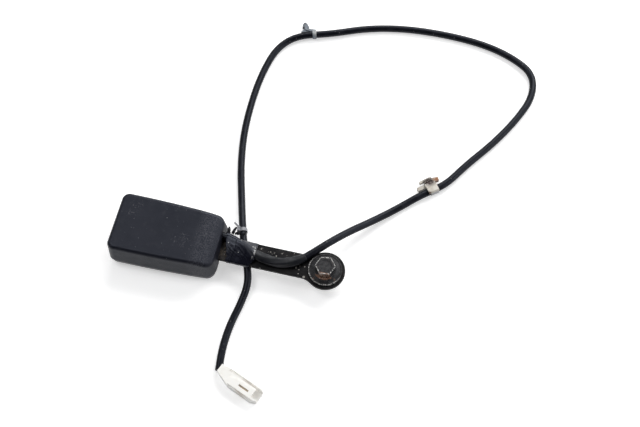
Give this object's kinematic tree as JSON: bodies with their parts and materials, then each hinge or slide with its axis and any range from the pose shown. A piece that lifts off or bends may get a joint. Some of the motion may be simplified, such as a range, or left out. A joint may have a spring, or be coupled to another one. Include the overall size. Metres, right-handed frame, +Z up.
{
  "type": "seat belt buckle",
  "caption": "Seat belt buckle on a flat steel stalk with an anchor bolt, a sprung latch under a moulded housing, and a looped switch cable with clips and a connector.",
  "frame": {"origin": "on the anchor bolt's axis, in the plane where the bolt's shoulder seats on the vehicle", "axes": "+X from the tongue's mouth along the stalk to the bolt, +Z up through the bolt's head, +Y towards the cable's loop"},
  "size_m": [0.3089, 0.3655, 0.028],
  "materials": {
    "cover": "fine moulded grain, black",
    "frame_steel": "pressed, yellow-grey zinc plate",
    "strap_paint": "semi-matt black paint, dirty",
    "zinc_plate": "zinc plate",
    "button_red": "satin red",
    "spring_wire": "drawn spring wire",
    "latch_steel": "hardened and blackened",
    "ejector_plastic": "natural acetal",
    "case_plastic": "moulded, black",
    "contact_brass": "stamped, dull",
    "wire_insulation": "black insulation",
    "bush_steel": "turned, plain",
    "washer_fibre": "brown fibre",
    "bolt_steel": "worn zinc plate with some rust",
    "cable_sleeve": "black sleeve, satin",
    "vinyl_tape": "wound vinyl tape, glossy",
    "tie_nylon": "grey nylon",
    "clip_white": "pale nylon, stained",
    "clip_band": "silver-grey band",
    "clip_grey": "blue-grey nylon",
    "connector_ivory": "ivory nylon"
  },
  "bodies": {
    "housing": {"upper_cover": "cover", "lower_cover": "cover", "frame": "frame_steel", "stalk": "strap_paint", "stalk_rivets": "zinc_plate", "button_spring_left": "spring_wire", "button_spring_right": "spring_wire", "latch_pin": "zinc_plate", "latch_spring": "spring_wire", "ejector_spring": "spring_wire", "switch_case": "case_plastic", "switch_contacts": "contact_brass", "switch_wires": "wire_insulation", "anchor_bush": "bush_steel", "seat_washer": "washer_fibre", "wave_washer": "zinc_plate", "cable": "cable_sleeve", "tape_wrap": "vinyl_tape", "cable_tie": "tie_nylon", "white_clip": "clip_white", "white_clip_band": "clip_band", "grey_clip": "clip_grey", "connector_housing": "connector_ivory", "connector_terminals": "contact_brass", "connector_wires": "wire_insulation"},
    "button": {"button": "button_red"},
    "latch": {"latch_plate": "latch_steel"},
    "ejector": {"ejector": "ejector_plastic", "switch_wiper": "contact_brass"},
    "bolt": {"anchor_bolt": "bolt_steel"}
  },
  "joints": [
    {"name": "button_press", "type": "slide", "parent": "housing", "child": "button", "axis": [1, 0, 0], "range_m": [0, 0.006], "stiffness_N_per_m": 2500, "springref_m": -0.004, "deforming": ["button_spring_left", "button_spring_right"]},
    {"name": "latch_pivot", "type": "hinge", "parent": "housing", "child": "latch", "pos_m": [-0.112, 0, 0.0064], "axis": [0, 1, 0], "range_deg": [0, 10.5], "deforming": ["latch_spring"]},
    {"name": "ejector_slide", "type": "slide", "parent": "housing", "child": "ejector", "axis": [1, 0, 0], "range_m": [0, 0.012], "stiffness_N_per_m": 800, "springref_m": -0.004, "deforming": ["ejector_spring"]},
    {"name": "bolt_spin", "type": "hinge", "parent": "housing", "child": "bolt", "pos_m": [0, 0, 0], "axis": [0, 0, 1], "continuous": true}
  ],
  "couplings": [
    {"joint": "latch_pivot", "follows": "button_press", "rad_per_m": 30.543}
  ]
}
